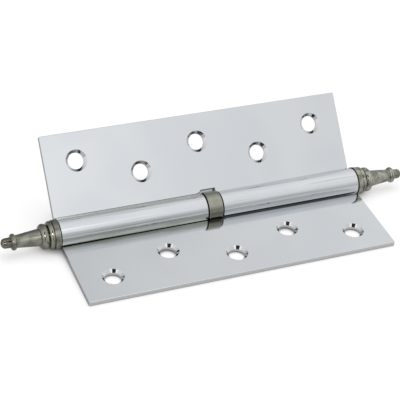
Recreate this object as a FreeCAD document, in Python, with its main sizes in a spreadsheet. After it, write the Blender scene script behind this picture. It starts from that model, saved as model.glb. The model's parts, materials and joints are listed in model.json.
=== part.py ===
import FreeCAD, Part
import math
import os
import Sketcher

doc = FreeCAD.newDocument("butt_hinge")
dims = doc.addObject("Spreadsheet::Sheet", "dims")

# Driving dimensions: millimetres, and degrees for the angles.
# Reaches are distances from the pin axis, finial stations are distances from the end of the barrel.
driving_dimensions = [
    ("leaf_length", 125, "both leaves, along the pin"),
    ("leaf_reach", 37.5, "pin axis to the outer edge of a leaf"),
    ("sheet_gauge", 2, "thickness of the rolled sheet"),
    ("bore_radius", 3.5, "inside of a knuckle"),
    ("axis_height", 2, "pin axis above the inner face of a leaf"),
    ("opening_angle", 132.5, "between the two leaves"),
    ("cut_reach", 6, "edge cut back beside the other knuckle"),
    ("notch_reach", 6.95, "edge cut back beside the bearing ring"),
    ("notch_lead", 1.2, "sloping side of the notch"),
    ("seam_gap", 0.3, "open seam where the rolled end meets the leaf"),
    ("root_bend", 2, "hollow bend between the knuckle and the back of the leaf"),
    ("corner_radius", 0.5, "outer corners of a leaf"),
    ("edge_break", 0.2, "broken edges of the pressing"),
    ("hole_pitch", 24.8, "screw holes, along the pin"),
    ("inner_row", 18.25, "reach of the inner two screw holes"),
    ("outer_row", 26.4, "reach of the outer three screw holes"),
    ("screw_hole", 6.4, "diameter"),
    ("countersink", 8.5, "diameter at the inner face"),
    ("countersink_angle", 90, "included"),
    ("ring_width", 5.7, "bearing ring, along the pin"),
    ("ring_radius", 6, "bearing ring, a little proud of the barrel"),
    ("end_gap", 0.45, "ring to each knuckle"),
    ("small_chamfer", 0.25, "turned edges"),
    ("pin_seat", 46, "middle of the barrel to the pressed end of the pin"),
    ("pin_free", 36, "middle of the barrel to the free end of the pin"),
    ("pin_lead", 0.6, "chamfer on the free end of the pin"),
    ("pin_clearance", 0.05, "radial, in the ring and the door leaf's knuckle"),
    ("pin_step", 1, "pressed diameter starts this far inside the knuckle"),
    ("spigot_length", 12, "finial inside the knuckle"),
    ("collar_length", 2.05, "plain band beside the barrel"),
    ("collar_radius", 5.6, "plain band beside the barrel"),
    ("scribe_at", 2.25, "fine groove between band and brim"),
    ("scribe_radius", 5.25, "bottom of the fine groove"),
    ("brim_at", 2.75, "ridge of the brim"),
    ("brim_radius", 5.5, "ridge of the brim"),
    ("brim_foot", 4.6, "outer side of the brim at the deep groove"),
    ("groove_start", 3.65, "wall of the deep groove under the brim"),
    ("groove_end", 3.95, "foot of the large bead in the deep groove"),
    ("groove_radius", 3.8, "bottom of the deep groove"),
    ("bead_at", 5.7, "top of the large bead"),
    ("bead_radius", 4.85, "top of the large bead"),
    ("crown_half", 0.75, "half the width of the bead's round crown"),
    ("crown_drop", 0.17, "height of the bead's round crown"),
    ("cone_start", 7.5, "wide end of the cone, at the foot of the large bead"),
    ("cone_wide", 3.32, "radius at the wide end of the cone"),
    ("cone_end", 16.4, "narrow end of the cone"),
    ("cone_narrow", 2.4, "radius at the narrow end of the cone"),
    ("top_bead_at", 17.45, "middle of the small bead"),
    ("top_bead_half", 0.35, "half the width of the small bead's flat top"),
    ("top_bead_radius", 3.15, "flat top of the small bead"),
    ("tip_start", 18.4, "foot of the tip at the small bead"),
    ("tip_radius", 2, "sides of the tip"),
    ("tip_shoulder", 20.9, "where the tip starts to narrow"),
    ("tip_end_radius", 1, "blunt end of the tip"),
    ("finial_length", 22.1, "barrel to the end of the tip"),
]
for row, (alias, number, meaning) in enumerate(driving_dimensions, start=1):
    dims.set(f"A{row}", meaning)
    dims.set(f"B{row}", str(number))
    dims.setAlias(f"B{row}", alias)
doc.recompute()

half_length = "dims.leaf_length / 2"
barrel_radius = "(dims.bore_radius + dims.sheet_gauge)"
knuckle_start = "(dims.ring_width / 2 + dims.end_gap)"
back_depth = "(dims.axis_height + dims.sheet_gauge)"
seam_depth = "(dims.axis_height - dims.seam_gap)"
seat_middle = "((dims.leaf_reach + dims.cut_reach) / 2)"
upright = "vector(0; 0; 1)"
half_turn = "180"


def origin_plane(body, role):
    return next(feature for feature in body.Origin.OriginFeatures if feature.Role == role)


def new_sketch(body, name, role, offset=None):
    sketch = body.newObject("Sketcher::SketchObject", name)
    sketch.AttachmentSupport = [(origin_plane(body, role), "")]
    sketch.MapMode = "FlatFace"
    if offset:
        sketch.setExpression("AttachmentOffset.Base.z", offset)
    doc.recompute()
    return sketch


def number(sketch, expression):
    return float(sketch.evalExpression(expression))


def fix_point(sketch, geometry, position, across, up):
    # A point's two distances from the sketch origin, each driven by the sheet
    for kind, axis, expression in (("DistanceX", -2, across), ("DistanceY", -1, up)):
        size = number(sketch, expression)
        if size == 0:
            sketch.addConstraint(Sketcher.Constraint("PointOnObject", geometry, position, axis))
        elif size > 0:
            index = sketch.addConstraint(Sketcher.Constraint(kind, -1, 1, geometry, position, size))
            sketch.setExpression(f"Constraints[{index}]", expression)
        else:
            index = sketch.addConstraint(Sketcher.Constraint(kind, geometry, position, -1, 1, -size))
            sketch.setExpression(f"Constraints[{index}]", f"-({expression})")


def outline(sketch, stations):
    # Closed outline through the stations in order. A station with a third entry is the middle of an arc.
    def place(station):
        return FreeCAD.Vector(number(sketch, station[0]), number(sketch, station[1]), 0)

    count = len(stations)
    corners = [index for index, station in enumerate(stations) if len(station) == 2]
    ends = []
    for here, there in zip(corners, corners[1:] + corners[:1]):
        start, end = place(stations[here]), place(stations[there])
        bend = stations[(here + 1) % count]
        if len(bend) == 3:
            geometry = sketch.addGeometry(Part.Arc(start, place(bend), end), False)
            middle = sketch.addGeometry(Part.Point(place(bend)), True)
            fix_point(sketch, middle, 1, bend[0], bend[1])
            sketch.addConstraint(Sketcher.Constraint("PointOnObject", middle, 1, geometry))
        else:
            geometry = sketch.addGeometry(Part.LineSegment(start, end), False)
        first = 1 if sketch.getPoint(geometry, 1).distanceToPoint(start) < 1e-6 else 2
        ends.append((geometry, first, 3 - first))
    for index, (geometry, first, _) in enumerate(ends):
        before, _, last = ends[index - 1]
        sketch.addConstraint(Sketcher.Constraint("Coincident", before, last, geometry, first))
        fix_point(sketch, geometry, first, *stations[corners[index]])
    doc.recompute()


def sketch_circle(sketch, centre, radius):
    circle = sketch.addGeometry(Part.Circle(centre, FreeCAD.Vector(0, 0, 1), number(sketch, radius)), False)
    index = sketch.addConstraint(Sketcher.Constraint("Radius", circle, number(sketch, radius)))
    sketch.setExpression(f"Constraints[{index}]", radius)
    return circle


def pad(body, name, sketch, length, downwards=False):
    feature = body.newObject("PartDesign::Pad", name)
    feature.Profile = sketch
    feature.setExpression("Length", length)
    feature.Reversed = downwards
    doc.recompute()
    return feature


def dress(body, name, kind, base, size, chosen):
    # Rounds or chamfers every edge of the base feature whose middle the test accepts
    names = []
    for index, edge in enumerate(base.Shape.Edges, start=1):
        middle = edge.valueAt((edge.FirstParameter + edge.LastParameter) / 2)
        if chosen(edge, middle):
            names.append(f"Edge{index}")
    feature = body.newObject(f"PartDesign::{kind}", name)
    feature.Base = (base, names)
    feature.setExpression("Radius" if kind == "Fillet" else "Size", size)
    doc.recompute()
    return feature


def stand_on_pin(body, axis, angle):
    # Each piece is drawn about the pin axis, then turned and put where the frame leaf's seat is the floor
    base = f"vector(0; {seat_middle}; {back_depth})"
    body.setExpression("Placement", f"placement({base}; rotation({axis}; {angle}))")


# Leaf: a flat plate and a rolled knuckle from one sheet, inner face up, knuckle on the left half
def make_leaf(label, axis, angle):
    body = doc.addObject("PartDesign::Body", label)
    body.Label = label

    plan = new_sketch(body, f"{label}_plan", "XY_Plane", "-dims.axis_height")
    outline(plan, [
        (f"-{half_length}", "-dims.leaf_reach"),
        (half_length, "-dims.leaf_reach"),
        (half_length, "-dims.cut_reach"),
        (knuckle_start, "-dims.cut_reach"),
        (f"{knuckle_start} - dims.notch_lead", "-dims.notch_reach"),
        (f"-{knuckle_start}", "-dims.notch_reach"),
        (f"-{knuckle_start}", "-dims.cut_reach"),
        (f"-{half_length}", "-dims.cut_reach"),
    ])
    pad(body, f"{label}_plate", plan, "dims.sheet_gauge", downwards=True)

    roll = new_sketch(body, f"{label}_roll", "YZ_Plane", f"-{half_length}")
    plate_end = "-dims.leaf_reach / 2"
    outline(roll, [
        (plate_end, "-dims.axis_height"),
        ("-sqrt(dims.bore_radius ^ 2 - dims.axis_height ^ 2)", "-dims.axis_height"),
        ("dims.bore_radius", "0", "bend"),
        (f"-sqrt(dims.bore_radius ^ 2 - {seam_depth} ^ 2)", f"-{seam_depth}"),
        (f"-sqrt({barrel_radius} ^ 2 - {seam_depth} ^ 2)", f"-{seam_depth}"),
        (barrel_radius, "0", "bend"),
        (f"-sqrt({barrel_radius} ^ 2 - {back_depth} ^ 2)", f"-{back_depth}"),
        (plate_end, f"-{back_depth}"),
    ])
    knuckle = pad(body, f"{label}_knuckle", roll, f"{half_length} - {knuckle_start}")

    reach, cut = number(plan, "dims.leaf_reach"), number(plan, "dims.cut_reach")
    half, corner = number(plan, half_length), number(plan, "dims.corner_radius")
    barrel, back = number(plan, barrel_radius), number(plan, back_depth)
    near = 1e-4

    def upright_at_corner(edge, middle):
        return abs(abs(middle.x) - half) < near and abs(middle.y + reach) < near and edge.Length < back

    corners = dress(body, f"{label}_corners", "Fillet", knuckle, "dims.corner_radius", upright_at_corner)

    def under_knuckle(edge, middle):
        return abs(middle.y + math.sqrt(barrel ** 2 - back ** 2)) < near and abs(middle.z + back) < near

    root = dress(body, f"{label}_root", "Fillet", corners, "dims.root_bend", under_knuckle)

    # Rim of the plate on both faces, and the rim of the knuckle beside the finial
    def on_rim(edge, middle):
        levels = [vertex.Z for vertex in edge.Vertexes]
        along_face = max(levels) - min(levels) < near
        at_side = abs(abs(middle.x) - half) < near and middle.y < -cut
        at_front = middle.y < -reach + corner
        at_knuckle_end = abs(middle.x + half) < near and edge.Length > barrel
        on_barrel = abs(math.hypot(middle.y, middle.z) - barrel) < near
        return (along_face and (at_side or at_front)) or (at_knuckle_end and on_barrel)

    rim = dress(body, f"{label}_rim", "Chamfer", root, "dims.edge_break", on_rim)

    spots = new_sketch(body, f"{label}_spots", "XY_Plane", "-dims.axis_height")
    for step in (-2, -1, 0, 1, 2):
        row_reach = "dims.inner_row" if step % 2 else "dims.outer_row"
        centre = FreeCAD.Vector(step * number(spots, "dims.hole_pitch"), -number(spots, row_reach), 0)
        circle = sketch_circle(spots, centre, "dims.screw_hole / 2")
        fix_point(spots, circle, 3, f"{step} * dims.hole_pitch", f"-{row_reach}")
    doc.recompute()
    holes = body.newObject("PartDesign::Hole", f"{label}_holes")
    holes.Profile = spots
    doc.recompute()
    holes.DepthType = "ThroughAll"
    holes.setExpression("Diameter", "dims.screw_hole")
    holes.HoleCutType = "Countersink"
    holes.setExpression("HoleCutDiameter", "dims.countersink")
    holes.setExpression("HoleCutCountersinkAngle", "dims.countersink_angle")
    doc.recompute()
    print(label, "screw holes take", round(rim.Shape.Volume - holes.Shape.Volume, 2), "mm3")

    stand_on_pin(body, axis, angle)
    return body


# Turned piece: a half section beside the pin axis, revolved about it
def make_turned(label, half_section, axis=upright, angle="0"):
    body = doc.addObject("PartDesign::Body", label)
    body.Label = label
    section = new_sketch(body, f"{label}_section", "XY_Plane")
    outline(section, half_section)
    turned = body.newObject("PartDesign::Revolution", f"{label}_turned")
    turned.Profile = section
    turned.ReferenceAxis = (section, ["H_Axis"])
    turned.Angle = 360
    doc.recompute()
    stand_on_pin(body, axis, angle)
    return body


bisector = "vector(0; -cos(dims.opening_angle * 0.5 deg); sin(dims.opening_angle * 0.5 deg))"

frame_leaf = make_leaf("frame_leaf", upright, "0")
door_leaf = make_leaf("door_leaf", bisector, half_turn)

journal = "(dims.bore_radius - dims.pin_clearance)"
shoulder = f"-({knuckle_start} + dims.pin_step)"
hinge_pin = make_turned("hinge_pin", [
    ("-dims.pin_seat", "0"),
    ("dims.pin_free", "0"),
    ("dims.pin_free", f"{journal} - dims.pin_lead"),
    ("dims.pin_free - dims.pin_lead", journal),
    (shoulder, journal),
    (shoulder, "dims.bore_radius"),
    ("-dims.pin_seat + dims.small_chamfer", "dims.bore_radius"),
    ("-dims.pin_seat", "dims.bore_radius - dims.small_chamfer"),
])

ring_end = "dims.ring_width / 2"
bearing_ring = make_turned("bearing_ring", [
    (f"-{ring_end}", "dims.bore_radius"),
    (ring_end, "dims.bore_radius"),
    (ring_end, "dims.ring_radius - dims.small_chamfer"),
    (f"{ring_end} - dims.small_chamfer", "dims.ring_radius"),
    (f"-{ring_end} + dims.small_chamfer", "dims.ring_radius"),
    (f"-{ring_end}", "dims.ring_radius - dims.small_chamfer"),
])

# Finial: spigot, plain band, brim, deep groove, bead, cone, small bead and blunt tip
crown_foot = "dims.bead_radius - dims.crown_drop"
finial_stations = [
    ("-dims.spigot_length", "0"),
    ("dims.finial_length", "0"),
    ("dims.finial_length", "dims.tip_end_radius"),
    ("dims.tip_shoulder", "dims.tip_radius"),
    ("dims.tip_start", "dims.tip_radius"),
    ("dims.top_bead_at + dims.top_bead_half", "dims.top_bead_radius"),
    ("dims.top_bead_at - dims.top_bead_half", "dims.top_bead_radius"),
    ("dims.cone_end", "dims.cone_narrow"),
    ("dims.cone_start", "dims.cone_wide"),
    ("dims.bead_at + dims.crown_half", crown_foot),
    ("dims.bead_at", "dims.bead_radius", "bend"),
    ("dims.bead_at - dims.crown_half", crown_foot),
    ("dims.groove_end", "dims.groove_radius"),
    ("dims.groove_start", "dims.groove_radius"),
    ("dims.groove_start", "dims.brim_foot"),
    ("dims.brim_at", "dims.brim_radius"),
    ("dims.scribe_at", "dims.scribe_radius"),
    ("dims.collar_length", "dims.collar_radius"),
    ("0", "dims.collar_radius"),
    ("0", "dims.bore_radius"),
    ("-dims.spigot_length", "dims.bore_radius"),
]
finial_section = [(f"{half_length} + {along}", *rest) for along, *rest in finial_stations]
frame_finial = make_turned("frame_finial", finial_section, upright, half_turn)
door_finial = make_turned("door_finial", finial_section)

doc.recompute()
pieces = [frame_leaf, door_leaf, hinge_pin, bearing_ring, frame_finial, door_finial]

for item in doc.Objects:
    if "Invalid" in item.State or "Error" in item.State:
        raise RuntimeError(f"{item.Name} failed: {item.State}")
for piece in pieces:
    if piece.Shape.isNull() or not piece.Shape.isValid():
        raise RuntimeError(f"{piece.Label} has no valid shape")

os.makedirs("parts", exist_ok=True)
for piece in pieces:
    box = piece.Shape.BoundBox
    print(piece.Label, "volume", round(piece.Shape.Volume, 1), "solids", len(piece.Shape.Solids),
          "x", round(box.XMin, 2), round(box.XMax, 2), "y", round(box.YMin, 2), round(box.YMax, 2),
          "z", round(box.ZMin, 2), round(box.ZMax, 2))
    piece.Shape.exportStep(f"parts/{piece.Label}.step")
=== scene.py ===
import json
import math

import bpy
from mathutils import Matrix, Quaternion, Vector


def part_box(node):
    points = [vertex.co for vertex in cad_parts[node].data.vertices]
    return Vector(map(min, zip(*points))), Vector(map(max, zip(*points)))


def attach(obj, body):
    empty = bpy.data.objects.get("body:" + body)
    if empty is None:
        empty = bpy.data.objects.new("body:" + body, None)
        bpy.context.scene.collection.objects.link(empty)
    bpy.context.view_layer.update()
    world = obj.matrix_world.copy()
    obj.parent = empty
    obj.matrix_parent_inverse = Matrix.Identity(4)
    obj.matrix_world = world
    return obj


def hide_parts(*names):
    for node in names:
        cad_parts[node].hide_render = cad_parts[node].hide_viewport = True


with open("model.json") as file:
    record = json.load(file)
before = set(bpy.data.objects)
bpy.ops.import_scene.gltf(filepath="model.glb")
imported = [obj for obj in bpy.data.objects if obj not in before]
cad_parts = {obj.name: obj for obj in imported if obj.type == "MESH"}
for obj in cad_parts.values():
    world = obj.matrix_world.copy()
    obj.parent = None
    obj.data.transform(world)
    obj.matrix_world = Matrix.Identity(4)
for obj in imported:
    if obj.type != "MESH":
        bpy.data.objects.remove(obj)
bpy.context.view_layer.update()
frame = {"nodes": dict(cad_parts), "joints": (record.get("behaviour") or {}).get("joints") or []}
bpy.ops.object.select_all(action="DESELECT")
nodes = frame["nodes"]
mm = 0.001

swing = next(joint for joint in frame["joints"] if joint["name"] == "swing")
pinPlace = Vector(swing["pos_m"])  # the pin runs along X through here
opening = math.radians(-swing["range_deg"][0])
leafLow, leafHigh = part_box("frame_leaf")
ringLow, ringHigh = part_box("bearing_ring")
ringRadius = (ringHigh.z - ringLow.z) / 2
leafHalf = leafHigh.x
barrelRadius = leafHigh.y - pinPlace.y
leafReach = pinPlace.y - leafLow.y
cutReach = pinPlace.y + leafLow.y  # the origin is midway between the leaf's two long edges
axisHeight = pinPlace.z / 2        # pin above a leaf's inner face, and the leaf is as thick

# each leaf's way out from the pin, and the way its countersunk face looks
flatWay, flatFace = (0, -1, 0), (0, 0, 1)
raisedWay = (0, -math.cos(opening), math.sin(opening))
raisedFace = (0, -math.sin(opening), -math.cos(opening))
print("frame loaded:", len(nodes), "nodes")


# short ways to build shader nodes

def feed(tree, socket, value):
    if isinstance(value, bpy.types.NodeSocket):
        tree.links.new(value, socket)
    else:
        socket.default_value = value


def maths(tree, operation, *values):
    node = tree.nodes.new("ShaderNodeMath")
    node.operation = operation
    for socket, value in zip(node.inputs, values):
        feed(tree, socket, value)
    return node.outputs[0]


def times(tree, first, *others):
    for other in others:
        first = maths(tree, "MULTIPLY", first, other)
    return first


def spread(tree, value, fromLow, fromHigh, toLow=0.0, toHigh=1.0):
    node = tree.nodes.new("ShaderNodeMapRange")
    node.interpolation_type = "SMOOTHSTEP"
    for name, amount in (("Value", value), ("From Min", fromLow), ("From Max", fromHigh),
                         ("To Min", toLow), ("To Max", toHigh)):
        feed(tree, node.inputs[name], amount)
    return node.outputs["Result"]


def tint(tree, share, first, second):
    node = tree.nodes.new("ShaderNodeMix")
    node.data_type = "RGBA"
    feed(tree, node.inputs["Factor"], share)
    sockets = [socket for socket in node.inputs if socket.type == "RGBA"]
    for socket, colour in zip(sockets, (first, second)):
        feed(tree, socket, colour if isinstance(colour, bpy.types.NodeSocket) else (*colour, 1))
    return next(socket for socket in node.outputs if socket.type == "RGBA")


def coats(tree, base, *layers):
    for share, colour in layers:
        base = tint(tree, share, base, colour)
    return base


def here(tree):
    return tree.nodes.new("ShaderNodeTexCoord").outputs["Object"]


def stretched(tree, factors):
    node = tree.nodes.new("ShaderNodeMapping")
    feed(tree, node.inputs["Vector"], here(tree))
    node.inputs["Scale"].default_value = factors
    return node.outputs["Vector"]


def clouds(tree, place, scale, detail):
    node = tree.nodes.new("ShaderNodeTexNoise")
    for name, amount in (("Vector", place), ("Scale", scale), ("Detail", detail)):
        feed(tree, node.inputs[name], amount)
    return node.outputs["Fac"]


def vectorMaths(tree, operation, first, second):
    node = tree.nodes.new("ShaderNodeVectorMath")
    node.operation = operation
    feed(tree, node.inputs[0], first)
    feed(tree, node.inputs[1], second)
    return node.outputs


def fromPin(tree):
    return vectorMaths(tree, "SUBTRACT", here(tree), pinPlace)["Vector"]


def howFar(tree, place, way):
    return vectorMaths(tree, "DOT_PRODUCT", place, way)["Value"]


def openShade(tree, reach):
    node = tree.nodes.new("ShaderNodeAmbientOcclusion")
    feed(tree, node.inputs["Distance"], reach)
    return node


def rays(tree):
    # one for what the camera sees itself, one for what it sees in a mirror or through glass
    path = tree.nodes.new("ShaderNodeLightPath").outputs
    mirrored = maths(tree, "MAXIMUM", path["Is Glossy Ray"], path["Is Transmission Ray"])
    return path["Is Camera Ray"], mirrored


def startGroup(name, inputs, outputs):
    tree = bpy.data.node_groups.new(name, "ShaderNodeTree")
    for label, amount in inputs.items():
        socket = tree.interface.new_socket(label, in_out="INPUT", socket_type="NodeSocketFloat")
        socket.default_value = amount
    for label in outputs:
        tree.interface.new_socket(label, in_out="OUTPUT", socket_type="NodeSocketFloat")
    return tree, tree.nodes.new("NodeGroupInput").outputs, tree.nodes.new("NodeGroupOutput").inputs


def useGroup(tree, group, **amounts):
    node = tree.nodes.new("ShaderNodeGroup")
    node.node_tree = group
    for label, amount in amounts.items():
        feed(tree, node.inputs[label], amount)
    return node.outputs


# shared effects, with lengths given to the groups in millimetres

effects = {
    "lineStretch": (0.012, 1, 1),  # drawn out along the pin
    "lineDetail": 3,
    "pitCore": 0.4,                # share of a pit that is dark right through
    "creviceSamples": 8,
}


def makePinGauge():
    # how far a point is from the pin's axis, and along it from the middle
    tree, _, out = startGroup("pinGauge", {}, ["Radius", "Along"])
    place = fromPin(tree)
    along, across, up = (howFar(tree, place, way) for way in ((1, 0, 0), (0, 1, 0), (0, 0, 1)))
    square = maths(tree, "ADD", times(tree, across, across), times(tree, up, up))
    feed(tree, out["Radius"], maths(tree, "SQRT", square))
    feed(tree, out["Along"], maths(tree, "ABSOLUTE", along))
    return tree


def makeDrawLines(look):
    # long thin lines along the pin, left by rolling and polishing
    tree, given, out = startGroup("drawLines", {"Fineness": 1.0}, ["Lines"])
    scale = times(tree, given["Fineness"], 1 / mm)
    lines = clouds(tree, stretched(tree, look["lineStretch"]), scale, look["lineDetail"])
    feed(tree, out["Lines"], lines)
    return tree


def makePits(look):
    # a few small round spots, the rest bare
    tree, given, out = startGroup("pits", {"Spacing": 2.0, "Size": 0.1, "Share": 0.1}, ["Pits"])
    cells = tree.nodes.new("ShaderNodeTexVoronoi")
    feed(tree, cells.inputs["Vector"], here(tree))
    feed(tree, cells.inputs["Scale"], maths(tree, "DIVIDE", 1 / mm, given["Spacing"]))
    edge = maths(tree, "DIVIDE", given["Size"], given["Spacing"])
    spot = spread(tree, cells.outputs["Distance"], edge, times(tree, edge, look["pitCore"]))
    pick = tree.nodes.new("ShaderNodeSeparateColor")
    feed(tree, pick.inputs[0], cells.outputs["Color"])
    chosen = maths(tree, "LESS_THAN", pick.outputs[0], given["Share"])
    feed(tree, out["Pits"], times(tree, spot, chosen))
    return tree


def makeCrevice(look):
    # how deep a point sits in the piece's own grooves and corners
    tree, given, out = startGroup("crevice", {"Reach": 1.0}, ["Depth"])
    shade = openShade(tree, times(tree, given["Reach"], mm))
    shade.only_local = True
    shade.samples = look["creviceSamples"]
    feed(tree, out["Depth"], maths(tree, "SUBTRACT", 1, shade.outputs["AO"]))
    return tree


pinGauge = makePinGauge()
drawLines = makeDrawLines(effects)
pits = makePits(effects)
crevice = makeCrevice(effects)
print("shared effects:", len(bpy.data.node_groups), "groups")


# finishes, each noise with a scale per metre and a detail

def startFinish(name):
    material = bpy.data.materials.new(name)
    material.use_nodes = True
    tree = material.node_tree
    return material, tree, tree.nodes["Principled BSDF"].inputs


def bump(tree, height, depth, under=None):
    node = tree.nodes.new("ShaderNodeBump")
    feed(tree, node.inputs["Height"], height)
    node.inputs["Distance"].default_value = depth
    if under:
        feed(tree, node.inputs["Normal"], under)
    return node.outputs["Normal"]


chromePlate = {
    "colour": (0.665, 0.69, 0.715),
    "cloudColour": (0.635, 0.662, 0.69),
    "cloudNoise": (38, 2),
    "cloudRange": (0.35, 0.65),
    "waveNoise": (260, 1),                # slight unevenness of the polished sheet
    "waveDepth": 0.0016 * mm,
    "barrelSkin": (barrelRadius + 0.3 * mm, barrelRadius + 0.05 * mm),
    "lineFineness": 1.6,                  # lines on the barrel, per millimetre
    "lineDepth": 0.004 * mm,
    "streakColour": (0.45, 0.46, 0.46),   # the strongest of those lines
    "streakRange": (0.58, 0.74),
    "hairFineness": 5.0,                  # finer lines all over, in the gloss alone
    "hairRange": (0.3, 0.7),
    "rough": (0.06, 0.13),
    # the front and side faces darker: partly the sheared edge's duller finish, partly painted shade
    "frontColour": (0.64, 0.645, 0.65),
    "sideColour": (0.38, 0.385, 0.385),
    "edgeRim": (0.12 * mm, 0.024 * mm),   # in from the sheared edge
    "edgeDull": 0.25,
    "notch": (3.3 * mm, 6.95 * mm, 1.2 * mm),  # half width, reach and sloping side
    # painted shade: a dark line along the edge cut back beside the barrel, wider and darker in the notch
    # round the ring
    "notchColour": (0.12, 0.12, 0.115),
    "notchLine": 0.5 * mm,
    "cutColour": (0.24, 0.245, 0.25),
    "cutLine": 0.17 * mm,                 # painted shade as a dark line along the edge cut back beside the barrel
    "lineCore": 0.5,                      # share of such a line that is dark right through
    "endLine": (0.2 * mm, 0.12 * mm),     # dark line on a knuckle's end beside the ring
    "sinkColour": (0.585, 0.595, 0.605),
    "sinkMargin": 2 * mm,                 # the countersinks are further in than this
    "sinkLip": (0.02 * mm, 0.1 * mm),     # and begin this far under the face
    "sinkFoot": 0.98 * axisHeight,        # just short of the leaf's back
    "holeColour": (0.21, 0.205, 0.17),    # painted shade in the countersinks, olive, darkest where a hole is closest
    "holeReach": 3.0,                     # millimetres
    "holeRange": (0.12, 0.7),
    "holeShare": 0.75,
    "filmAndShadeColour": (0.41, 0.43, 0.36),     # dull olive film and painted shade between a knuckle and a leaf
    "filmAndShadeHeight": (2.2 * mm, 0),          # above the pin
    "backFilmAndShade": (3.7 * mm, 5.2 * mm),     # towards the leaf behind the knuckle
    "filmAndShadeStretch": (0.15, 1, 1),
    "filmAndShadeNoise": (420, 3),
    "filmAndShadeRange": (0.3, 0.6),
    "filmAndShadeShare": (0.45, 1),
    "filmDull": 0.1,
    "pits": {"Spacing": 5.0, "Size": 0.16, "Share": 0.16},
    "pitColour": (0.16, 0.16, 0.16),
    "shadeAndGrimeColour": (0.05, 0.049, 0.036),  # painted shade in the corner between the barrel and the leaf
    "shadeAndGrimeReach": 1.3,                    # millimetres
    "shadeAndGrimeRange": (0.25, 0.52),
    "shadeAndGrimeFrom": 0.25 * leafHalf,
    "shadeAndGrimeShare": (0.1, 0.95),            # there, and at the barrel's end
}


def leafMasks(tree, look, reachWay, faceWay, cutSide):
    # where a point is on its own leaf: cut side positive, reach out from the pin, height above it
    place = fromPin(tree)
    side = howFar(tree, place, (cutSide, 0, 0))
    far = maths(tree, "ABSOLUTE", side)
    reach = howFar(tree, place, reachWay)
    height = howFar(tree, place, faceWay)
    inCorner = times(tree, maths(tree, "GREATER_THAN", reach, 0),
                     spread(tree, height, *look["filmAndShadeHeight"]))

    rimStart, rimFull = look["edgeRim"]
    sideEdge = spread(tree, far, leafHalf - rimStart, leafHalf - rimFull)
    frontEdge = spread(tree, reach, leafReach - rimStart, leafReach - rimFull)

    # painted shade along the cut edge beside the barrel and in the notch round the ring
    half, deepReach, slope = look["notch"]
    inNotch = spread(tree, side, half + slope, half)
    line = spread(tree, inNotch, 0, 1, look["cutLine"], look["notchLine"])
    edgeReach = spread(tree, side, half, half - slope, cutReach, deepReach)
    nearEdge = maths(tree, "SUBTRACT", reach, edgeReach)
    onCut = times(tree, maths(tree, "GREATER_THAN", side, -half - look["notchLine"]),
                  spread(tree, nearEdge, line, times(tree, line, look["lineCore"])),
                  maths(tree, "GREATER_THAN", reach, barrelRadius))
    endStart, endFull = look["endLine"]
    onEnd = times(tree, maths(tree, "LESS_THAN", reach, barrelRadius),
                  spread(tree, far, half + endStart, half + endFull))
    onCut = maths(tree, "MAXIMUM", onCut, onEnd)

    margin = look["sinkMargin"]
    depth = maths(tree, "SUBTRACT", -axisHeight, height)
    inHole = times(tree, maths(tree, "GREATER_THAN", reach, deepReach + margin),
                   maths(tree, "LESS_THAN", reach, leafReach - margin),
                   maths(tree, "LESS_THAN", far, leafHalf - margin),
                   spread(tree, depth, *look["sinkLip"]),
                   maths(tree, "LESS_THAN", depth, look["sinkFoot"]))
    return sideEdge, frontEdge, onCut, inNotch, inHole, inCorner


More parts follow.
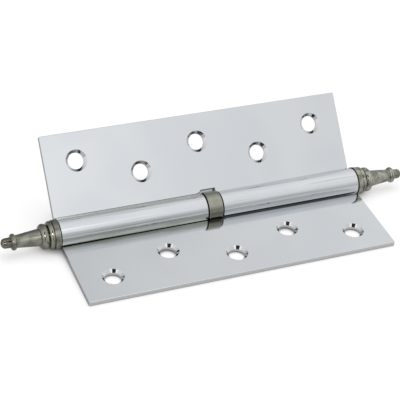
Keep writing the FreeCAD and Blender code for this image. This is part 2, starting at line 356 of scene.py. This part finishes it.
def makeChrome(look, name, reachWay, faceWay, cutSide, backWay=None):
    material, tree, shader = startFinish(name)
    gauge = useGroup(tree, pinGauge)
    lines = useGroup(tree, drawLines, Fineness=look["lineFineness"])["Lines"]
    hairs = useGroup(tree, drawLines, Fineness=look["hairFineness"])["Lines"]
    pitMask = useGroup(tree, pits, **look["pits"])["Pits"]
    holeDepth = useGroup(tree, crevice, Reach=look["holeReach"])["Depth"]
    cornerDepth = useGroup(tree, crevice, Reach=look["shadeAndGrimeReach"])["Depth"]
    onBarrel = spread(tree, gauge["Radius"], *look["barrelSkin"])
    masks = leafMasks(tree, look, reachWay, faceWay, cutSide)
    sideEdge, frontEdge, onCut, inNotch, inHole, inCorner = masks

    # dull film and painted shade in the corner by the leaf, and on the frame's barrel where it faces the
    # raised leaf
    if backWay:
        behind = spread(tree, howFar(tree, fromPin(tree), backWay), *look["backFilmAndShade"])
        inCorner = maths(tree, "MAXIMUM", inCorner, behind)
    smear = clouds(tree, stretched(tree, look["filmAndShadeStretch"]), *look["filmAndShadeNoise"])
    filmAndShade = times(tree, inCorner, onBarrel,
                 spread(tree, smear, *look["filmAndShadeRange"], *look["filmAndShadeShare"]))
    cloud = spread(tree, clouds(tree, here(tree), *look["cloudNoise"]), *look["cloudRange"])
    streak = times(tree, onBarrel, spread(tree, lines, *look["streakRange"]))
    # painted shade deep in the countersinks
    holeShade = times(tree, inHole,
                      spread(tree, holeDepth, *look["holeRange"], 0, look["holeShare"]))
    # painted shade in the corner between barrel and leaf, strongest towards the barrel's ends
    shadeAndGrime = times(tree, spread(tree, gauge["Along"], look["shadeAndGrimeFrom"], leafHalf, *look["shadeAndGrimeShare"]),
                  spread(tree, cornerDepth, *look["shadeAndGrimeRange"]))
    plate = coats(tree, look["colour"],
                  (cloud, look["cloudColour"]),
                  (streak, look["streakColour"]),
                  (filmAndShade, look["filmAndShadeColour"]),
                  (inHole, look["sinkColour"]),
                  (holeShade, look["holeColour"]),
                  (shadeAndGrime, look["shadeAndGrimeColour"]),
                  (pitMask, look["pitColour"]),
                  (frontEdge, look["frontColour"]),
                  (onCut, tint(tree, inNotch, look["cutColour"], look["notchColour"])),
                  (sideEdge, look["sideColour"]))
    feed(tree, shader["Base Color"], plate)
    shader["Metallic"].default_value = 1

    edge = maths(tree, "MAXIMUM", sideEdge, maths(tree, "MAXIMUM", frontEdge, onCut))
    rough = spread(tree, hairs, *look["hairRange"], *look["rough"])
    for share, extra in ((edge, look["edgeDull"]), (filmAndShade, look["filmDull"])):
        rough = maths(tree, "ADD", rough, times(tree, share, extra))
    feed(tree, shader["Roughness"], rough)

    wave = bump(tree, clouds(tree, here(tree), *look["waveNoise"]), look["waveDepth"])
    feed(tree, shader["Normal"], bump(tree, times(tree, lines, onBarrel), look["lineDepth"], wave))
    return material


# distances along a finial are from the end of the barrel
nickelCasting = {
    "colour": (0.425, 0.425, 0.37),
    "patchColour": (0.2, 0.2, 0.165),
    "patchNoise": (350, 3),
    "patchRange": (0.38, 0.68),
    "patchShare": 1.0,
    "grainNoise": (1400, 4),
    "grainRange": (0.3, 0.7),
    "grainDepth": 0.014 * mm,
    "rough": (0.09, 0.2),
    "satin": 0.24,                         # extra on the cone and the collar, which were never polished
    "coneStart": (7.1 * mm, 7.6 * mm),
    "coneEnd": (16.7 * mm, 16.2 * mm),
    "collarEnd": (2.4 * mm, 2.2 * mm),
    "turningStretch": (1, 0.02, 0.02),     # rings round the pin
    "turningNoise": (3500, 1),
    "turningDepth": 0.004 * mm,
    "tipColour": (0.11, 0.11, 0.09),
    "tipStart": (16.8 * mm, 18.6 * mm),
    "tipGrain": (0.35, 0.6),
    "tipShare": (0.4, 0.8),
    # painted shade: darker underneath and round the back, towards the raised leaf
    "paintedShadeColour": (0.1, 0.1, 0.08),
    "underFrom": 0.7 * ringRadius,         # painted shade from this height downwards
    "underShare": 0.0,
    "backRange": (0.1, 0.9),               # and round the back, towards the raised leaf
    "backShare": 0.0,
    # painted shade and tarnish in the grooves, joined by a dark line at the barrel's end
    "shadeAndGrimeColour": (0.03, 0.029, 0.022),
    "shadeAndGrimeReach": 0.36,                    # millimetres
    "shadeAndGrimeGrain": 0.15,                    # how much the grain breaks up its border
    "shadeAndGrimeRange": (0.35, 0.75),
    "jointLine": (0.34 * mm, 0.204 * mm),  # dark line against the end of the barrel
}
# the ring, with painted shade underneath and round the back
nickelRing = dict(nickelCasting, colour=(0.34, 0.34, 0.295), patchShare=0.3, rough=(0.1, 0.16),
                  underShare=0.65, backShare=0.7, backRange=(0.45, 0.95))
# the frame finial's copy: darker all over, with painted shade round the back
nickelShaded = dict(nickelCasting, colour=(0.37, 0.37, 0.32), backShare=0.8)


def makeNickel(look, name):
    material, tree, shader = startFinish(name)
    grain = clouds(tree, here(tree), *look["grainNoise"])
    patches = clouds(tree, here(tree), *look["patchNoise"])
    patch = spread(tree, patches, *look["patchRange"], 0, look["patchShare"])
    place = fromPin(tree)
    gauge = useGroup(tree, pinGauge)
    beyond = maths(tree, "SUBTRACT", gauge["Along"], leafHalf)

    onTip = times(tree, spread(tree, beyond, *look["tipStart"]),
                  spread(tree, grain, *look["tipGrain"], *look["tipShare"]))
    # painted shade underneath and round the back, towards the raised leaf
    under = spread(tree, howFar(tree, place, (0, 0, 1)), look["underFrom"], 0, 0, look["underShare"])
    turned = maths(tree, "DIVIDE", howFar(tree, place, raisedWay), gauge["Radius"])
    behind = spread(tree, turned, *look["backRange"], 0, look["backShare"])
    paintedShade = maths(tree, "MAXIMUM", under, behind)
    onJoint = times(tree, maths(tree, "GREATER_THAN", beyond, -look["jointLine"][0]),
                    spread(tree, beyond, *look["jointLine"]))
    # painted shade and tarnish in the grooves
    deep = useGroup(tree, crevice, Reach=look["shadeAndGrimeReach"])["Depth"]
    deep = maths(tree, "ADD", deep, times(tree, grain, look["shadeAndGrimeGrain"]))
    shadeAndGrime = maths(tree, "MAXIMUM", spread(tree, deep, *look["shadeAndGrimeRange"]), onJoint)
    metal = coats(tree, look["colour"],
                  (patch, look["patchColour"]),
                  (onTip, look["tipColour"]),
                  (paintedShade, look["paintedShadeColour"]),
                  (shadeAndGrime, look["shadeAndGrimeColour"]))
    feed(tree, shader["Base Color"], metal)
    shader["Metallic"].default_value = 1

    onCone = times(tree, spread(tree, beyond, *look["coneStart"]),
                   spread(tree, beyond, *look["coneEnd"]))
    onCollar = times(tree, maths(tree, "GREATER_THAN", beyond, 0),
                     spread(tree, beyond, *look["collarEnd"]))
    satin = times(tree, maths(tree, "MAXIMUM", onCone, onCollar), look["satin"])
    rough = spread(tree, grain, *look["grainRange"], *look["rough"])
    feed(tree, shader["Roughness"], maths(tree, "ADD", satin, rough))

    turning = clouds(tree, stretched(tree, look["turningStretch"]), *look["turningNoise"])
    lathe = bump(tree, turning, look["turningDepth"])
    feed(tree, shader["Normal"], bump(tree, grain, look["grainDepth"], lathe))
    return material


groundSteel = {
    "colour": (0.42, 0.42, 0.42),
    "oilColour": (0.23, 0.21, 0.17),
    "oilNoise": (120, 3),
    "oilRange": (0.5, 0.72),
    "grindStretch": (1, 0.02, 0.02),
    "grindNoise": (4200, 2),
    "grindRange": (0.3, 0.7),
    "grindDepth": 0.004 * mm,
    "rough": (0.16, 0.32),
}


def makeSteel(look, name):
    material, tree, shader = startFinish(name)
    rings = clouds(tree, stretched(tree, look["grindStretch"]), *look["grindNoise"])
    oil = spread(tree, clouds(tree, here(tree), *look["oilNoise"]), *look["oilRange"])
    feed(tree, shader["Base Color"], tint(tree, oil, look["colour"], look["oilColour"]))
    shader["Metallic"].default_value = 1
    feed(tree, shader["Roughness"], spread(tree, rings, *look["grindRange"], *look["rough"]))
    feed(tree, shader["Normal"], bump(tree, rings, look["grindDepth"]))
    return material


def wear(piece, material):
    slots = piece.data.materials
    slots.clear()
    slots.append(material)


cadFinishes = {
    "frame_leaf": makeChrome(chromePlate, "chromeFrame", flatWay, flatFace, cutSide=1, backWay=raisedWay),
    "door_leaf": makeChrome(chromePlate, "chromeDoor", raisedWay, raisedFace, cutSide=-1),
    "bearing_ring": makeNickel(nickelRing, "nickelRing"),
    "hinge_pin": makeSteel(groundSteel, "groundSteel"),
}
for nodeName, finish in cadFinishes.items():
    wear(nodes[nodeName], finish)
print("CAD pieces finished:", ", ".join(cadFinishes))


# turned finials, each pair a distance from the barrel's end and a radius, in millimetres

finialShape = {
    "spigotEnd": (-12.0, 3.5),
    "collarStart": (0, 5.82),
    "collar": (2.2, 5.62),
    "scribe": (2.4, 5.2),
    "brim": (2.95, 5.55),
    "brimFoot": (4.12, 4.5),
    "groove": (4.38, 4.1),
    "beadFoot": (4.56, 4.4),
    "bead": (5.85, 4.95),
    "coneStart": (7.3, 3.36),
    "coneEnd": (16.4, 2.4),
    "topBead": (17.45, 3.2),
    "tipStart": (18.4, 2.05),
    "tipShoulder": (20.55, 1.95),
    "tipEnd": (22.1, 0.0),
    "roundSteps": 10,
    "sides": 96,
    "softEdge": 0.07,
    "softSteps": 3,
    "softAngle": 38,  # degrees
}


def quarterRound(start, end, steps):
    # rises steeply to a crest, or falls from a crest ever more steeply
    points = []
    for step in range(1, steps + 1):
        turn = math.pi / 2 * step / steps
        slow, fast = 1 - math.cos(turn), math.sin(turn)
        across, up = (slow, fast) if end[1] > start[1] else (fast, slow)
        points.append((start[0] + (end[0] - start[0]) * across, start[1] + (end[1] - start[1]) * up))
    return points


def finialStations(look):
    def rounds(*names):
        points = []
        for first, second in zip(names, names[1:]):
            points += quarterRound(look[first], look[second], look["roundSteps"])
        return points

    spigot, collar, scribe = look["spigotEnd"], look["collar"], look["scribe"]
    stations = [spigot, (0, spigot[1]), look["collarStart"], collar, (collar[0], scribe[1]), scribe]
    stations += rounds("scribe", "brim", "brimFoot") + [look["groove"], look["beadFoot"]]
    stations += rounds("beadFoot", "bead", "coneStart") + [look["coneEnd"]]
    stations += rounds("coneEnd", "topBead", "tipStart") + [look["tipShoulder"]]
    stations += rounds("tipShoulder", "tipEnd")
    return stations


def turnFinial(look, name):
    stations = finialStations(look)
    along, radius = stations[0]
    middle = pinPlace + Vector((leafHalf + along * mm, 0, 0))
    bpy.ops.mesh.primitive_circle_add(vertices=look["sides"], radius=radius * mm, fill_type="NGON",
                                      location=middle, rotation=(0, math.radians(90), 0))
    piece = bpy.context.object
    piece.name = name
    bpy.ops.object.transform_apply(location=True, rotation=True, scale=True)
    bpy.ops.object.mode_set(mode="EDIT")
    bpy.ops.mesh.select_all(action="SELECT")
    for nextAlong, nextRadius in stations[1:-1]:
        step, grow = (nextAlong - along) * mm, nextRadius / radius
        bpy.ops.mesh.extrude_region_move(TRANSFORM_OT_translate={"value": (step, 0, 0)})
        middle.x += step
        bpy.ops.transform.resize(value=(1, grow, grow), center_override=middle)
        along, radius = nextAlong, nextRadius
    bpy.ops.transform.translate(value=((stations[-1][0] - along) * mm, 0, 0))
    bpy.ops.mesh.merge(type="CENTER")
    bpy.ops.mesh.select_all(action="SELECT")
    bpy.ops.mesh.normals_make_consistent(inside=False)
    bpy.ops.object.mode_set(mode="OBJECT")

    softAngle = math.radians(look["softAngle"])
    soft = piece.modifiers.new("softEdge", "BEVEL")
    soft.width = look["softEdge"] * mm
    soft.segments = look["softSteps"]
    soft.limit_method = "ANGLE"
    soft.angle_limit = softAngle
    bpy.ops.object.modifier_apply(modifier=soft.name)
    bpy.ops.object.shade_smooth_by_angle(angle=softAngle)
    return piece


def halfTurnCopy(piece, name):
    # the same piece at the other end, turned about the middle of the pin
    bpy.ops.object.select_all(action="DESELECT")
    piece.select_set(True)
    bpy.context.view_layer.objects.active = piece
    bpy.ops.object.duplicate(linked=False)
    copy = bpy.context.object
    copy.name = name
    copy.rotation_euler = (0, 0, math.pi)
    copy.location = (0, 2 * pinPlace.y, 0)
    bpy.ops.object.transform_apply(location=True, rotation=True, scale=True)
    bpy.ops.object.select_all(action="DESELECT")
    return copy


doorSteeple = turnFinial(finialShape, "doorSteeple")
frameSteeple = halfTurnCopy(doorSteeple, "frameSteeple")
wear(doorSteeple, makeNickel(nickelCasting, "nickelCasting"))
wear(frameSteeple, makeNickel(nickelShaded, "nickelShaded"))
for piece, node, body in ((doorSteeple, "door_finial", "door_side"),
                          (frameSteeple, "frame_finial", "frame_side")):
    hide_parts(node)
    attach(piece, body)
print("finials turned:", len(doorSteeple.data.polygons), "faces each")


# the table top, touching the leaf's front edge and the ring

tableTop = {
    "size": 4.0,
    "colour": (0.4, 0.4, 0.4),
    # painted shadow colour, darkest in the closest gaps
    "contactColour": (0.05, 0.05, 0.05),
    "rough": 0.9,
    "glow": 0.62,
    "mirrorGlow": 0.3,
    "shadeReach": 40 * mm,
    "shadeRange": (0.05, 0.5),
    "deepest": 0.45,             # what is left of the glow in the closest gaps
    "coverWay": (0, -0.6, 0.8),  # up and towards the camera's side
    "coverRange": (0.1, 0.55),
    "underLeaf": 0.22,           # what is left where the leaves and the barrel cover that way
}


def makeTable(look):
    frontEdge = Vector((0, leafLow.y, 0))
    toRing = pinPlace - frontEdge
    slope = math.atan2(toRing.z, toRing.y) - math.asin(ringRadius / toRing.length)
    bpy.ops.mesh.primitive_plane_add(size=look["size"], location=frontEdge, rotation=(slope, 0, 0))
    table = bpy.context.object
    table.name = "tableTop"

    material, tree, shader = startFinish("paleTable")
    shader["Roughness"].default_value = look["rough"]
    shader["Specular IOR Level"].default_value = 0
    shader["Emission Color"].default_value = (1, 1, 1, 1)
    shade, cover = openShade(tree, look["shadeReach"]), openShade(tree, look["shadeReach"])
    lean = tree.nodes.new("ShaderNodeCombineXYZ")
    for socket, amount in zip(lean.inputs, look["coverWay"]):
        socket.default_value = amount
    feed(tree, cover.inputs["Normal"], lean.outputs[0])
    # painted shadow: ambient occlusion darkens the table's colour and glow under and around the hinge
    clear = times(tree, spread(tree, shade.outputs["AO"], *look["shadeRange"], look["deepest"], 1),
                  spread(tree, cover.outputs["AO"], *look["coverRange"], look["underLeaf"], 1))
    feed(tree, shader["Base Color"], tint(tree, clear, look["contactColour"], look["colour"]))
    seen, mirrored = rays(tree)
    glow = maths(tree, "ADD", times(tree, seen, look["glow"]), times(tree, mirrored, look["mirrorGlow"]))
    feed(tree, shader["Emission Strength"], times(tree, glow, clear))
    wear(table, material)


makeTable(tableTop)
print("table laid")


# camera, placed from the middle of the pin

cameraSetup = {
    "spot": (-188.878 * mm, -376.089 * mm, 324.661 * mm),
    "aim": (-3.595 * mm, 3.181 * mm, 1.673 * mm),
    "roll": 6.545,    # degrees, right side raised
    "lens": 122.243,  # millimetres, as the sensor
    "sensor": 36,
}


def makeCamera(setup):
    bpy.ops.object.camera_add(location=pinPlace + Vector(setup["spot"]))
    camera = bpy.context.object
    camera.name = "photoCamera"
    camera.rotation_mode = "QUATERNION"
    looking = (Vector(setup["aim"]) - Vector(setup["spot"])).to_track_quat("-Z", "Y")
    camera.rotation_quaternion = looking @ Quaternion((0, 0, 1), math.radians(setup["roll"]))
    camera.data.sensor_width = setup["sensor"]
    camera.data.lens = setup["lens"]
    bpy.context.scene.camera = camera


makeCamera(cameraSetup)
bpy.context.scene.view_settings.view_transform = "Standard"
print("camera set")


# a pale room, darker to the front and the back, with a dark slit where the camera looks in
# ranges are shares of a direction: to the right, away from the camera's side, or towards it

room = {
    "bright": 1.05,
    "farRange": (0.1, 0.95),
    "farDrop": 0.27,              # lower towards the far wall
    "footRange": (0.8, 0.97),
    "footDrop": 0.3,              # and again at its foot
    "nearRange": (0.64, 1.0),
    "nearTurn": (0.3, 0.4),
    "nearDrop": (0.6, 0.36),      # lower near the floor on the camera's side, more so to the left
    "slantTurn": (0.14, 0.46),
    "slantSwing": (-0.15, 0.15),
    "slantRange": (-0.1, 0.1),
    "slant": (1.2, 0.7),          # camera side brighter to the left, far side to the right
    "facingRange": (0.15, 0.3),   # the slit and its borders are on the camera's side alone
    "slitRange": (0.33, 0.198),   # to each side of the camera's way
    "slitDepth": 0.98,
    "borderRange": (0.495, 0.396),
    "borderGlow": 0.4,            # bright strip on each side of the slit
    "fill": 0.55,                 # the room's light on what doesn't mirror it
}


def makeRoom(look, cameraWay):
    world = bpy.data.worlds.new("paleRoom")
    bpy.context.scene.world = world
    world.use_nodes = True
    tree = world.node_tree
    back = tree.nodes["Background"].inputs
    back["Color"].default_value = (1, 1, 1, 1)
    direction = tree.nodes.new("ShaderNodeTexCoord").outputs["Generated"]
    right, away, near = (howFar(tree, direction, way) for way in ((1, 0, 0), (0, 1, 0), (0, -1, 0)))
    slant = times(tree, spread(tree, right, *look["slantTurn"], *look["slantSwing"]), away,
                  spread(tree, away, *look["slantRange"], *look["slant"]))
    farDrop = spread(tree, away, *look["farRange"], 0, look["farDrop"])
    footDrop = spread(tree, away, *look["footRange"], 0, look["footDrop"])
    nearDrop = times(tree, spread(tree, right, *look["nearTurn"], *look["nearDrop"]),
                     spread(tree, near, *look["nearRange"]))
    glow = maths(tree, "ADD", look["bright"], slant)
    for drop in (farDrop, footDrop, nearDrop):
        glow = maths(tree, "SUBTRACT", glow, drop)

    level = Vector((cameraWay.x, cameraWay.y, 0)).normalized()
    beside = maths(tree, "ABSOLUTE", howFar(tree, direction, (-level.y, level.x, 0)))
    facing = spread(tree, howFar(tree, direction, level), *look["facingRange"])
    border = times(tree, spread(tree, beside, *look["borderRange"]), facing)
    glow = maths(tree, "ADD", glow, times(tree, border, look["borderGlow"]))
    slit = times(tree, spread(tree, beside, *look["slitRange"]), facing)
    glow = times(tree, glow, spread(tree, slit, 0, 1, 1, 1 - look["slitDepth"]))

    seen, mirrored = rays(tree)
    strength = maths(tree, "ADD", times(tree, glow, mirrored),
                     times(tree, look["fill"], maths(tree, "SUBTRACT", 1, mirrored)))
    feed(tree, back["Strength"], maths(tree, "MAXIMUM", strength, seen))


makeRoom(room, Vector(cameraSetup["spot"]))
print("room lit")


# lamps, in metres and watts

lamps = {
    "topLamp": {
        "spot": (0.12, 0.2, 1.0),
        "aim": 0.0,     # along the pin from its middle
        "size": 1.0,
        "power": 7.0,
        "cone": 180,    # degrees
        "inMirrors": False,
        "lights": (),   # none named: it lights everything
    },
    "sparkLamp": {
        "spot": (-0.25, -0.33, 0.36),
        "aim": -0.07,
        "size": 0.06,
        "power": 0.0225,
        "cone": 40,
        "inMirrors": True,
        "lights": (doorSteeple, frameSteeple),
    },
}


def makeLamps(setup):
    for name, look in setup.items():
        bpy.ops.object.light_add(type="AREA", location=look["spot"])
        lamp = bpy.context.object
        lamp.name = name
        lamp.data.size = look["size"]
        lamp.data.energy = look["power"]
        lamp.data.spread = math.radians(look["cone"])
        lamp.visible_glossy = look["inMirrors"]
        lamp.rotation_mode = "QUATERNION"
        target = pinPlace + Vector((look["aim"], 0, 0))
        lamp.rotation_quaternion = (target - lamp.location).to_track_quat("-Z", "Y")
        if look["lights"]:
            lit = bpy.data.collections.new(name + "Lights")
            for piece in look["lights"]:
                lit.objects.link(piece)
            lamp.light_linking.receiver_collection = lit


makeLamps(lamps)
print("lamps:", ", ".join(lamps))
